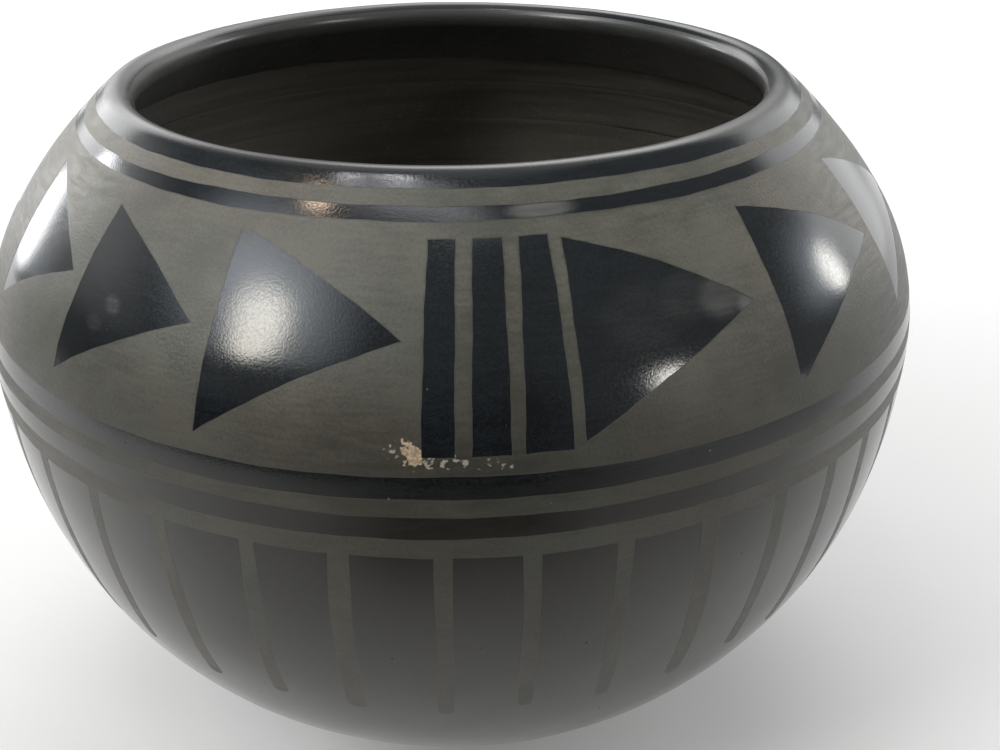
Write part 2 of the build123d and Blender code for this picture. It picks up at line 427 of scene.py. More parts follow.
def mouth_slip(material):
    """Burnished coat from the crest of the lip down the inside of the mouth, to a hand-drawn edge."""
    azimuth = columns(SLIP_COLUMNS)
    tilt = MOUTH_TILT * np.sin(np.radians(azimuth - MOUTH_TILT_AZIMUTH))
    depth = MOUTH_SLIP_DEPTH + tilt + MOUTH_WANDER * wander(azimuth, MOUTH_START)
    distance = LIP_DISTANCE - depth * by_row(np.linspace(0, 1, MOUTH_ROWS))
    lip = lip_point(azimuth, by_row(np.linspace(90, 180, SLIP_TURNS)), 0.0)
    face = wall_point(azimuth, distance[1:], WALL)
    under = wall_point(azimuth, distance[::-MOUTH_UNDER_STRIDE], CLAY_INSIDE)
    lip_under = lip_point(azimuth, by_row(np.linspace(180, 90, UNDER_TURNS)[1:]), SLIP)
    ring("mouth_slip_coat", [lip, face, under, lip_under], material, "mouth_slip")


def painted(node, azimuth, distance, cover, faces, material):
    """Closed thin coat of paint over a patch of the wall. Cover says how thick it looks at each point."""
    azimuth, distance, cover = (values.ravel() for values in np.broadcast_arrays(azimuth, distance, cover))
    count = len(azimuth)
    top = wall_point(azimuth, distance, -PAINT_RISE)
    under = wall_point(azimuth, distance, PAINT_SINK)
    sides = set()
    for face in faces:
        for start, end in zip(face, face[1:] + face[:1]):
            if (end, start) in sides:
                sides.remove((end, start))
            else:
                sides.add((start, end))
    closed = list(faces)
    closed += [[count + corner for corner in reversed(face)] for face in faces]
    closed += [[end, start, count + start, count + end] for start, end in sorted(sides)]
    piece = dress(f"{node}_paint", np.concatenate([top, under]), closed, material, node)
    attribute = piece.data.attributes.new("cover", "FLOAT", "POINT")
    attribute.data.foreach_set("value", np.concatenate([cover, cover]))


def painted_lines(material):
    """Lines painted round the jar, each between two hand-drawn edges."""
    azimuth = columns(SLIP_COLUMNS)
    cover = np.minimum(1, LINE_COVER * np.minimum(LINE_SHARES, 1 - LINE_SHARES))
    faces = ring_faces(len(LINE_SHARES), SLIP_COLUMNS)[:-SLIP_COLUMNS]
    for name, low_edge, high_edge, start in LINES:
        low = low_edge + wander(azimuth, start)
        high = high_edge + wander(azimuth, start + UPPER_EDGE_START)
        distance = low + by_row(LINE_SHARES) * (high - low)
        painted(name, azimuth, distance, by_row(cover), faces, material)


def bare_shapes():
    """Bars and triangles left bare in the painted field: their corners, and the bows of their edges."""
    shapes = []
    bars = list(FRONT_BARS)
    for place in (-1, 0, 1):
        left = BACK_BARS + BACK_BAR_PITCH * place - BACK_BAR_WIDTH / 2
        right = left + BACK_BAR_WIDTH
        bars.append((left, right, left, right))
    for high_left, high_right, low_left, low_right in bars:
        low = [(low_left, BARS[0]), (low_right, BARS[0])]
        high = [(high_right, BARS[1]), (high_left, BARS[1])]
        shapes.append((low + high, (0, 0, 0, 0)))
    triangles = list(FRONT_TRIANGLES)
    for start, end, count in (RIGHT_ROW, LEFT_ROW):
        pitch = (end - start) / count
        for place in range(count):
            edge = start + pitch * place
            tip = (edge + pitch - TIP_GAP, TRIANGLE_TIP)
            triangles.append(((edge, TRIANGLES[1]), (edge, TRIANGLES[0]), tip, 0.0, 0.0))
    for high, low, tip, low_bow, high_bow in triangles:
        shapes.append(([low, tip, high], (low_bow, high_bow, 0)))
    return shapes


def fan(azimuth, distance):
    """Lay places on the wall out flat."""
    turn = np.radians(azimuth)
    reach = FAN_MIDDLE - distance
    return np.stack([reach * np.sin(turn), -reach * np.cos(turn)], axis=-1)


def from_fan(flat):
    """Azimuths and distances of places laid out flat."""
    azimuth = np.degrees(np.arctan2(flat[:, 0], -flat[:, 1]))
    distance = FAN_MIDDLE - np.hypot(flat[:, 0], flat[:, 1])
    return azimuth, distance


def drawn_edge(corners, bows, seed):
    """Closed outline through corners laid out flat, whose edges bow and waver as a brush does."""
    edges = []
    for place, (start, end, bow) in enumerate(zip(corners, np.roll(corners, -1, axis=0), bows)):
        along = end - start
        length = float(np.hypot(*along))
        across = np.array([along[1], -along[0]]) / length
        shares = steps(0, length, EDGE_STEP)[:-1] / length
        phase = SHAPE_PHASE * seed + EDGE_PHASE * place
        waver = sum(size * np.sin(pace * length * shares + turns * phase) for size, pace, turns in WAVERS)
        waver = waver * smooth_step(np.minimum(shares, 1 - shares) * length, 0, WAVER_FADE)
        aside = waver + bow * 4 * shares * (1 - shares)
        edges.append(start + by_row(shares) * along + by_row(aside) * across)
    return np.concatenate(edges)


def shoulder_field(material):
    """Painted field on the shoulder, with the bars and triangles left bare."""
    azimuth = columns(SLIP_COLUMNS)
    loops = [fan(azimuth, edge + wander(azimuth, start)) for edge, start in zip(FIELD, FIELD_STARTS)]
    for seed, (corners, bows) in enumerate(bare_shapes()):
        loops.append(drawn_edge(fan(*np.transpose(corners)), bows, seed))
    edge_points = np.concatenate(loops)
    starts = np.cumsum([0] + [len(loop) for loop in loops])
    loop_faces = [list(range(start, end)) for start, end in zip(starts, starts[1:])]

    near = KDTree(len(edge_points))
    for place, point in enumerate(edge_points):
        near.insert((*point, 0), place)
    near.balance()

    # Rows of points fill the field, clear of the edges
    inner_points = []
    for row, distance in enumerate(steps(*FIELD, PAINT_STEP)[1:-1]):
        count = round(math.tau * (FAN_MIDDLE - distance) / PAINT_STEP)
        row_points = fan(columns(count) + 180.0 / count * (row % 2), distance)
        inner_points += [point for point in row_points if near.find((*point, 0))[2] > EDGE_CLEARANCE]
    places = [Vector(point) for point in np.concatenate([edge_points, np.array(inner_points)])]
    corners, _, triangles, _, _, loops_of = delaunay_2d_cdt(places, [], loop_faces, 0, MERGE_LIMIT)

    # Paint lies inside the lower edge, the first loop, and inside none of the others
    kept = [list(face) for face, owners in zip(triangles, loops_of) if set(owners) == {0}]
    used = sorted({corner for face in kept for corner in face})
    place_of = {corner: place for place, corner in enumerate(used)}
    faces = [[place_of[corner] for corner in face] for face in kept]
    flat = np.array([corners[corner] for corner in used])
    cover = np.array([min(1.0, near.find((*point, 0))[2] / EDGE_COVER) for point in flat])
    painted("shoulder_field", *from_fan(flat), cover, faces, material)


def varied(change, place):
    """Change from one stroke to the next, with a size and a pace."""
    size, pace = change
    return size * math.sin(pace * place)


def all_strokes():
    """Azimuth, lean and width of the strokes at the front and, after them, of the unseen ones."""
    strokes = list(FRONT_STROKES)
    first = FRONT_STROKES[0][0]
    last = FRONT_STROKES[-1][0]
    unseen = STROKE_COUNT - len(FRONT_STROKES)
    pitch = (360 + first - last) / (unseen + 1)
    for place in range(unseen):
        azimuth = last + pitch * (place + 1) + varied(STROKE_SHIFT, place)
        lean = varied(STROKE_LEAN, place)
        width = STROKE_WIDTH + varied(STROKE_WIDENING, place)
        strokes.append((azimuth, lean, width))
    return strokes


def stroke_grid(place, azimuth, lean, width):
    """Azimuths, distances and cover of a stroke's points, in rows from its top to its rounded end."""
    end = STROKE_END + varied(STROKE_END_SHIFT, place)
    round_start = end + STROKE_ROUND
    tip = end + STROKE_ROUND * (1 - np.sin(np.linspace(0, STROKE_TIP_TURN, STROKE_TIP_ROWS)))
    rows = np.concatenate([steps(STROKE_TOP, round_start, STROKE_STEP)[:-1], tip])
    along = (STROKE_TOP - rows) / (STROKE_TOP - end)
    lift = np.clip((round_start - rows) / STROKE_ROUND, 0, 1)
    pressure = 1 - STROKE_PRESSURE[0] * (1 - np.cos(STROKE_PRESSURE[1] * along + place))
    half = width / 2 * pressure * np.sqrt(1 - lift**2 * STROKE_TIP_NARROW)
    radius = np.hypot(*wall_point(0.0, rows, 0.0)[:, :2].T)
    sway = STROKE_SWAY[0] * np.sin(STROKE_SWAY[1] * along + 2 * place)
    middle = azimuth + lean * along + np.degrees(sway / radius)
    across = np.linspace(-1, 1, STROKE_COLUMNS)
    azimuths = by_row(middle) + by_row(np.degrees(half / radius)) * across
    cover = np.minimum(1, STROKE_COVER * (1 - np.abs(across)))
    return np.broadcast_arrays(azimuths, by_row(rows), cover)


def hanging_strokes(material):
    """Brush strokes that hang from the skirt line, each rounded off where the brush lifted."""
    grids = [stroke_grid(place, *stroke) for place, stroke in enumerate(all_strokes())]
    faces = []
    count = 0
    for azimuths, _, _ in grids:
        faces += [face[::-1] for face in sheet_faces(*azimuths.shape, count)]
        count += azimuths.size
    azimuth, distance, cover = (np.concatenate([part.ravel() for part in parts]) for parts in zip(*grids))
    painted("hanging_strokes", azimuth, distance, cover, faces, material)


def add_node(member, kind, inputs, **settings):
    """Add a shader node to the tree of a member, set its options, and set or link its inputs."""
    tree = member.id_data
    node = tree.nodes.new(kind)
    for name, value in settings.items():
        setattr(node, name, value)
    for name, value in inputs.items():
        if isinstance(value, bpy.types.NodeSocket):
            tree.links.new(value, node.inputs[name])
        else:
            node.inputs[name].default_value = value
    return node


def new_material(name, slot=""):
    """Material for a slot, with its shader and the place on the object, in metres."""
    material = bpy.data.materials.new(name)
    material["slot"] = slot
    material.use_nodes = True
    shader = material.node_tree.nodes["Principled BSDF"]
    return material, shader, add_node(shader, "ShaderNodeTexCoord", {}).outputs["Object"]


def noise(place, scale, detail, output="Fac"):
    """Soft noise between 0 and 1, with so many waves to the metre."""
    inputs = {"Vector": place, "Scale": scale, "Detail": detail}
    return add_node(place, "ShaderNodeTexNoise", inputs).outputs[output]


def streaky(place, scales, detail):
    """Soft noise between 0 and 1, with so many waves to the metre along each axis."""
    stretched = add_node(place, "ShaderNodeMapping", {"Vector": place, "Scale": scales}).outputs[0]
    return noise(stretched, 1.0, detail)


def span(value, low, high, out_low=0.0, out_high=1.0):
    """Ease a value from one range into another."""
    inputs = {"Value": value, "From Min": low, "From Max": high, "To Min": out_low, "To Max": out_high}
    return add_node(value, "ShaderNodeMapRange", inputs, interpolation_type="SMOOTHSTEP").outputs[0]


def combine(operation, first, second):
    """Arithmetic on two values."""
    return add_node(first, "ShaderNodeMath", {0: first, 1: second}, operation=operation).outputs[0]


def combine_vectors(operation, first, second):
    """Arithmetic on two vectors or colours."""
    return add_node(first, "ShaderNodeVectorMath", {0: first, 1: second}, operation=operation).outputs[0]


def weighted(*parts):
    """Sum of values, each times its weight."""
    total = 0.0
    for value, weight in parts:
        inputs = {0: value, 1: weight, 2: total}
        total = add_node(value, "ShaderNodeMath", inputs, operation="MULTIPLY_ADD").outputs[0]
    return total


def blend_colour(share, first, second):
    """Colour between two others, which are inputs 6 and 7 of the node, and its output 2."""
    node = add_node(share, "ShaderNodeMix", {0: share, 6: first, 7: second}, data_type="RGBA")
    return node.outputs[2]


def blend_value(share, first, second):
    """Value between two others, which are inputs 2 and 3 of the node."""
    node = add_node(share, "ShaderNodeMix", {0: share, 2: first, 3: second}, data_type="FLOAT")
    return node.outputs[0]


def height_of(place):
    """Height above the floor, in millimetres."""
    height = add_node(place, "ShaderNodeSeparateXYZ", {0: place}).outputs["Z"]
    return combine("DIVIDE", height, MM)


# Share of a spot's reach, and of a speck's size, over which it keeps its full strength
CORE = 0.4


def near_spot(place, spot, reach):
    """1 at a spot on the jar, fading to 0 at its reach along each axis, both in millimetres."""
    centre = [value * MM for value in spot]
    scale = [1 / (size * MM) for size in reach]
    offset = combine_vectors("SUBTRACT", place, centre)
    share = combine_vectors("MULTIPLY", offset, scale)
    length = add_node(share, "ShaderNodeVectorMath", {0: share}, operation="LENGTH").outputs["Value"]
    return span(length, 1.0, CORE)


def near_wall_spot(place, azimuth, distance, reach):
    """1 at a spot on the burnished surface, fading to 0 at its reach along each axis in millimetres."""
    return near_spot(place, wall_point(azimuth, distance, 0.0).tolist(), reach)


def specks(place, scale, size, share):
    """Sparse round specks, 1 in a speck and 0 between them, in a share of so many cells to the metre."""
    cells = add_node(place, "ShaderNodeTexVoronoi", {"Vector": place, "Scale": scale})
    chosen = combine("LESS_THAN", cells.outputs["Color"], share)
    dot = span(cells.outputs["Distance"], size, CORE * size)
    return combine("MULTIPLY", chosen, dot)


def set_finish(shader, colour, roughness, relief, bump):
    """Give a shader its colour, its roughness and a fine relief, with a strength and a depth."""
    strength, depth = bump
    inputs = {"Strength": strength, "Distance": depth * MM, "Height": relief}
    normal = add_node(shader, "ShaderNodeBump", inputs).outputs[0]
    for name, value in (("Base Color", colour), ("Roughness", roughness), ("Normal", normal)):
        shader.id_data.links.new(value, shader.inputs[name])


# Range that most of the noise lies in, and its middle
NOISE_RANGE = (0.3, 0.7)
NOISE_MIDDLE = 0.5

# Slip: waves to the metre and detail of its noises, and cells to the metre, size and share of its specks
SLIP_PATCHES = (70.0, 3.0)
SLIP_RUBBING = (420.0, 2.0)
SLIP_GRAIN = (2600.0, 2.0)
SLIP_STREAKS = ((160.0, 160.0, 1500.0), 2.0)
SLIP_PITS = (720.0, 0.17, 0.12)
SLIP_DUST = (620.0, 0.13, 0.07)
SLIP_DUST_COLOUR = (0.26, 0.27, 0.27, 1)

# Darkest and lightest tone of the slip: on the shoulder; on the bowl, browner as a painted warm reflection
# of the floor; and in the mouth, lighter as painted light in the dim mouth. The bowl's tone fades out
# between two heights.
SLIP_TONES = ((0.0026, 0.0052, 0.0072, 1), (0.0112, 0.0160, 0.0194, 1))
BOWL_TONES = ((0.0070, 0.0066, 0.0046, 1), (0.0220, 0.0206, 0.0152, 1))
MOUTH_TONES = ((0.048, 0.049, 0.049, 1), (0.072, 0.073, 0.072, 1))
SLIP_TONE_RANGE = (0.40, 0.60)
BOWL_FADE = (94.0, 106.0)

# Polish: refraction, roughness from the grain, from the patches and in pits, smudges and painted
# highlights, and dust, and relief
SLIP_IOR = 1.64
GRAIN_ROUGHNESS = (0.08, 0.16)
PATCH_ROUGHNESS = (0.0, 0.04)
PIT_ROUGHNESS = 0.60
SMUDGE_AND_HIGHLIGHT_ROUGHNESS = 0.50
DUST_ROUGHNESS = 0.50
SLIP_BUMP = (0.20, 0.10)

# Heights between which the polish is worn off towards the crest of the lip, outside and in the mouth. The
# worn grey there is lighter, and is partly a painted sheen on the crest.
LIP_WEAR_AND_SHEEN = (143.1, 143.8)
LIP_WORN_AND_SHEEN = (0.050, 0.049, 0.046, 1)
MOUTH_WEAR_AND_SHEEN = (139.5, 142.5)
MOUTH_WORN_AND_SHEEN = (0.088, 0.087, 0.083, 1)
WORN_ROUGHNESS = 0.28

# Smudges on the polish, and painted highlights: azimuth, distance, reach along each axis, strength and
# paleness. The two at -39.4 and -41.3 are painted highlights, and the last three outside are worn places
# on the lip whose pale grey is partly a painted sheen. Streaks thin a smudge out, and its grey is a little
# warm.
SMUDGES_AND_HIGHLIGHTS = (
    (32.4, 31.5, (3.0, 5.0, 2.0), 1.0, 0.16),
    (29.4, 33.6, (6.0, 8.0, 4.2), 0.7, 0.12),
    (25.0, 35.0, (6.0, 8.0, 5.0), 0.2, 0.11),
    (19.0, 33.0, (9.0, 12.0, 7.0), 0.12, 0.11),
    (-24.6, 47.2, (3.0, 5.0, 2.6), 0.5, 0.11),
    (36.5, 13.8, (3.0, 5.0, 3.6), 0.9, 0.11),
    (10.5, 53.0, (7.0, 12.0, 1.5), 0.9, 0.19),
    # Painted highlights: two soft round spots of light in a triangle
    (-39.4, 30.3, (2.2, 4.0, 1.9), 0.45, 0.11),
    (-41.3, 26.5, (2.2, 4.0, 1.7), 0.18, 0.11),
    # Worn places on the lip, whose pale grey is partly a painted sheen
    (-92.0, 61.2, (26.0, 52.0, 1.5), 0.8, 0.15),
    (-135.0, 61.2, (45.0, 40.0, 1.5), 0.8, 0.14),
    (55.0, 61.2, (28.0, 36.0, 1.5), 0.7, 0.12),
)
# Painted light in the mouth: a pale patch on the inner band at the left
MOUTH_PAINTED_LIGHT = ((-104.0, 54.0, (26.0, 44.0, 14.0), 0.9, 0.15),)
SMUDGE_AND_HIGHLIGHT_THINNED = 0.7
SMUDGE_AND_HIGHLIGHT_BLUE = 0.94


def slip_material(name, tones, smudges_and_highlights, wear_and_sheen, worn_and_sheen_colour):
    """Slip burnished with a stone: near-black, with grain, pits, dust, smudges and painted highlights,
    worn on the lip, where its grey is partly a painted sheen.
    """
    material, shader, place = new_material(name, "burnished_slip")
    patches = noise(place, *SLIP_PATCHES)
    rubbed = noise(place, *SLIP_RUBBING)
    grain = noise(place, *SLIP_GRAIN)
    streaks = streaky(place, *SLIP_STREAKS)
    pits = specks(place, *SLIP_PITS)
    dust = specks(place, *SLIP_DUST)
    height = height_of(place)
    worn_and_sheen = span(height, *wear_and_sheen)

    mixed = weighted((grain, 0.5), (patches, 0.25), (streaks, 0.25))
    tone = span(mixed, *SLIP_TONE_RANGE)
    # The bowl's browner tone is a painted warm reflection of the floor
    bowl = blend_colour(tone, *BOWL_TONES)
    black = blend_colour(tone, *tones)
    black = blend_colour(span(height, *BOWL_FADE), bowl, black)
    # Worn lip: lighter grey, partly worn and partly a painted sheen on the crest
    black = blend_colour(worn_and_sheen, black, worn_and_sheen_colour)
    grain_roughness = span(grain, *NOISE_RANGE, *GRAIN_ROUGHNESS)
    patch_roughness = span(patches, *NOISE_RANGE, *PATCH_ROUGHNESS)
    polish = combine("ADD", grain_roughness, patch_roughness)
    polish = blend_value(worn_and_sheen, polish, WORN_ROUGHNESS)
    polish = blend_value(pits, polish, PIT_ROUGHNESS)
    # Smudges, painted highlights and painted light lighten the slip in spots
    for azimuth, distance, reach, strength, paleness in smudges_and_highlights:
        spot = near_wall_spot(place, azimuth, distance, reach)
        thinned = span(streaks, *NOISE_RANGE, SMUDGE_AND_HIGHLIGHT_THINNED * strength, strength)
        smudge_and_highlight = combine("MULTIPLY", spot, thinned)
        black = blend_colour(smudge_and_highlight, black, (paleness, paleness, SMUDGE_AND_HIGHLIGHT_BLUE * paleness, 1))
        polish = blend_value(smudge_and_highlight, polish, SMUDGE_AND_HIGHLIGHT_ROUGHNESS)
    colour = blend_colour(dust, black, SLIP_DUST_COLOUR)
    roughness = blend_value(dust, polish, DUST_ROUGHNESS)
    relief = weighted((grain, 0.6), (rubbed, 0.06), (pits, -0.2))
    set_finish(shader, colour, roughness, relief, SLIP_BUMP)
    shader.inputs["IOR"].default_value = SLIP_IOR
    return material


# Paint: waves to the metre and detail of its noises, and cells to the metre, size and share of its dust
PAINT_CLOUDS = (75.0, 4.0)
PAINT_GRAIN = (2000.0, 2.0)
PAINT_BRUSHING = ((170.0, 170.0, 1400.0), 2.0)
PAINT_DRIFT = (30.0, 2.0)
PAINT_DUST = (560.0, 0.13, 0.08)
PAINT_DUST_COLOUR = (0.40, 0.39, 0.36, 1)

# Darkest and lightest tone of the paint, and its colour where it is thin. It is painted lighter upwards,
# between two heights, as painted light from above, and its tint drifts between brown and green.
PAINT_TONES = ((0.074, 0.071, 0.057, 1), (0.128, 0.123, 0.101, 1))
PAINT_TONE_RANGE = (0.36, 0.64)
PAINT_THIN_COLOUR = (0.075, 0.073, 0.063, 1)
PAINT_LIGHT_HEIGHTS = (102.0, 132.0)
PAINT_TOP_LIGHT = (0.74, 1.42)
PAINT_TINTS = ((1.05, 0.995, 0.93, 1), (0.955, 1.0, 0.99, 1))

# Painted shade at the front, where the paint is darker: azimuth, distance and reach, and how dark
FRONT_SHADE = (2.0, 21.0, (42.0, 60.0, 27.0))
FRONT_SHADED = 0.84

# Cover up to which the paint counts as thin, how much the clouds change it, and how matte it is
THIN_COVER = 0.4
CLOUDED_COVER = 0.2
PAINT_IOR = 1.6
MATTE_ROUGHNESS = (0.42, 0.54)
THIN_ROUGHNESS = 0.36
BARE_ROUGHNESS = 0.9
PAINT_BUMP = (0.30, 0.2)

# Ragged outline of the chip and the flecks: noise that shifts it, how far in metres, and noise that
# breaks it up
RAGGED_NOISE = (700.0, 3.0)
RAGGED_SHIFT = 0.004
BROKEN_NOISE = (1150.0, 1.0)

# Chip in the paint, down to the clay: azimuth, distance and reach, how it crumbles, and the clay's tones
CHIP = (-4.3, 14.3, (2.1, 6.0, 3.1))
CHIP_CRUMBLING = 2.0
CHIP_EDGE = (0.0, 0.1)
CHIP_RANGE = (0.38, 0.62)
CHIP_TONES = ((0.40, 0.29, 0.18, 1), (0.76, 0.60, 0.42, 1))

# Rows of pale flecks: azimuth, distance, reach and sparseness
FLECKS = (
    (-1.4, 13.2, (4.6, 6.0, 1.0), 0.50),
    (3.2, 12.5, (4.2, 6.0, 1.2), 0.56),
    (-6.0, 15.4, (1.2, 6.0, 2.2), 0.56),
    (7.8, 6.3, (2.6, 6.0, 0.7), 0.58),
)
FLECK_ROW_EDGE = (0.2, 0.5)
FLECK_EDGE = 0.12
FLECK_COLOUR = (0.46, 0.43, 0.37, 1)


def paint_material():
    """Matte paint of fine clay: warm grey-black, thin along its edges, with a chip, flecks and dust,
    painted lighter upwards and with painted shade at the front.
    """
    material, shader, place = new_material("paint_finish", "matte_paint")
    cover = add_node(shader, "ShaderNodeAttribute", {}, attribute_name="cover").outputs["Fac"]
    clouds = noise(place, *PAINT_CLOUDS)
    grain = noise(place, *PAINT_GRAIN)
    brushed = streaky(place, *PAINT_BRUSHING)
    drift = noise(place, *PAINT_DRIFT)
    dust = specks(place, *PAINT_DUST)

    mixed = weighted((clouds, 0.46), (brushed, 0.26), (grain, 0.28))
    full = blend_colour(span(mixed, *PAINT_TONE_RANGE), *PAINT_TONES)
    tint = blend_colour(span(drift, *PAINT_TONE_RANGE), *PAINT_TINTS)
    # Painted light: the paint is darker low down and lighter high up
    painted_light = span(height_of(place), *PAINT_LIGHT_HEIGHTS, *PAINT_TOP_LIGHT)
    # Painted shade on the front of the paint
    front_shade = near_wall_spot(place, *FRONT_SHADE)
    painted_light = combine("MULTIPLY", painted_light, span(front_shade, 0.0, 1.0, 1.0, FRONT_SHADED))
    full = combine_vectors("MULTIPLY", full, tint)
    full = combine_vectors("MULTIPLY", full, painted_light)
    clouded = combine("SUBTRACT", clouds, NOISE_MIDDLE)
    thick = span(weighted((cover, 1.0), (clouded, CLOUDED_COVER)), 0.0, THIN_COVER)
    coat = blend_colour(thick, PAINT_THIN_COLOUR, full)

    jitter = noise(place, *RAGGED_NOISE, "Color")
    jitter = combine_vectors("SUBTRACT", jitter, [NOISE_MIDDLE] * 3)
    shift = combine_vectors("MULTIPLY", jitter, [RAGGED_SHIFT] * 3)
    ragged = combine_vectors("ADD", place, shift)
    broken = noise(place, *BROKEN_NOISE)
    spot = near_wall_spot(ragged, *CHIP)
    crumbs = combine("SUBTRACT", broken, NOISE_MIDDLE)
    crumbled = span(weighted((spot, 1.0), (crumbs, CHIP_CRUMBLING)), *CHIP_RANGE)
    chip = combine("MULTIPLY", span(spot, *CHIP_EDGE), crumbled)
    clay = blend_colour(span(grain, *NOISE_RANGE), *CHIP_TONES)
    chipped = blend_colour(chip, coat, clay)
    bare = chip
    for azimuth, distance, reach, sparseness in FLECKS:
        row = near_wall_spot(ragged, azimuth, distance, reach)
        sparse = span(broken, sparseness, sparseness + FLECK_EDGE)
        flecks = combine("MULTIPLY", span(row, *FLECK_ROW_EDGE), sparse)
        chipped = blend_colour(flecks, chipped, FLECK_COLOUR)
        bare = combine("MAXIMUM", bare, flecks)

    colour = blend_colour(dust, chipped, PAINT_DUST_COLOUR)
    matte = span(brushed, *NOISE_RANGE, *MATTE_ROUGHNESS)
    roughness = blend_value(thick, THIN_ROUGHNESS, matte)
    roughness = blend_value(bare, roughness, BARE_ROUGHNESS)
    relief = weighted((grain, 1.0), (brushed, 0.3), (bare, 2.0))
    set_finish(shader, colour, roughness, relief, PAINT_BUMP)
    shader.inputs["IOR"].default_value = PAINT_IOR
    return material


# Clay: waves to the metre and detail of its noises, and cells to the metre, size and share of its dust
CLAY_SCRAPING = ((50.0, 50.0, 300.0), 4.0)
CLAY_CLOUDS = (40.0, 3.0)
CLAY_GRIT = (1100.0, 2.0)
CLAY_GRIT_RANGE = (0.55, 0.75)
CLAY_GRIT_COLOUR = (0.180, 0.168, 0.144, 1)
CLAY_DUST = (200.0, 0.10, 0.12)
CLAY_DUST_COLOUR = (0.30, 0.28, 0.24, 1)
CLAY_TONES = ((0.118, 0.108, 0.090, 1), (0.144, 0.132, 0.111, 1))
CLAY_TONE_RANGE = (0.35, 0.65)
CLAY_ROUGHNESS = (0.55, 0.72)
CLAY_BUMP = (0.3, 0.4)

# Painted light on the clay inside, at the back on the left: a lighter grey patch
INSIDE_LIGHT_SPOT = (-75.0, 35.0, 85.0)
INSIDE_LIGHT_REACH = (75.0, 85.0, 75.0)
INSIDE_LIGHT_COLOUR = (0.250, 0.246, 0.232, 1)


def clay_material():
    """Smoke-blackened clay, scraped but not polished, with painted light inside at the back on the left.
    """
    material, shader, place = new_material("clay_finish", "clay")
    scrape = streaky(place, *CLAY_SCRAPING)
    clouds = noise(place, *CLAY_CLOUDS)
    grit = noise(place, *CLAY_GRIT)
    dust = specks(place, *CLAY_DUST)
    mixed = weighted((scrape, 0.5), (clouds, 0.5))
    dark = blend_colour(span(mixed, *CLAY_TONE_RANGE), *CLAY_TONES)
    # Painted light: lighter grey on the inside at the back on the left
    inside_light = near_spot(place, INSIDE_LIGHT_SPOT, INSIDE_LIGHT_REACH)
    inside_lit = blend_colour(inside_light, dark, INSIDE_LIGHT_COLOUR)
    gritty = blend_colour(span(grit, *CLAY_GRIT_RANGE), inside_lit, CLAY_GRIT_COLOUR)
    colour = blend_colour(dust, gritty, CLAY_DUST_COLOUR)
    roughness = span(scrape, *NOISE_RANGE, *CLAY_ROUGHNESS)
    relief = weighted((scrape, 0.6), (grit, 0.4))
    set_finish(shader, colour, roughness, relief, CLAY_BUMP)
    return material


# Floor and card: waves to the metre and detail of a faint mottle, and how matte they are
STAGE_MOTTLE = (3.0, 2.0)
STAGE_ROUGHNESS = 0.9
STAGE_SHINE = 0.1


def stage_material(name, tones):
    """Plain matte finish of the floor and of the card, mottled between two tones."""
    material, shader, place = new_material(name)
    tone = blend_colour(noise(place, *STAGE_MOTTLE), *tones)
    shader.id_data.links.new(tone, shader.inputs["Base Color"])
    shader.inputs["Roughness"].default_value = STAGE_ROUGHNESS
    shader.inputs["Specular IOR Level"].default_value = STAGE_SHINE
    return material


# Camera, fitted to the photograph: metres from the jar's axis and above its widest line, its turns, and
# its lens and sensor in millimetres
CAMERA_BACK = 0.25515
CAMERA_ABOVE_WIDEST = 0.11096
CAMERA_PITCH = math.radians(27.813)
CAMERA_YAW = math.radians(2.252)
CAMERA_ROLL = math.radians(-0.267)
CAMERA_LENS = 43.2
CAMERA_SENSOR = 36.0
CAMERA_NEAR = 0.01


def camera():
    """Camera at the photograph's place, looking down at the jar."""
    data = bpy.data.cameras.new("camera")
    data.sensor_fit = "HORIZONTAL"
    data.sensor_width = CAMERA_SENSOR
    data.lens = CAMERA_LENS
    data.clip_start = CAMERA_NEAR
    view = bpy.data.objects.new("camera", data)
    place = Vector((0, -CAMERA_BACK, WIDEST_HEIGHT * MM + CAMERA_ABOVE_WIDEST))
    yaw = Matrix.Rotation(-CAMERA_YAW, 4, "Z")
    pitch = Matrix.Rotation(math.pi / 2 - CAMERA_PITCH, 4, "X")
    roll = Matrix.Rotation(CAMERA_ROLL, 4, "Z")
    view.matrix_world = Matrix.Translation(place) @ yaw @ pitch @ roll
    bpy.context.scene.collection.objects.link(view)
    bpy.context.scene.camera = view


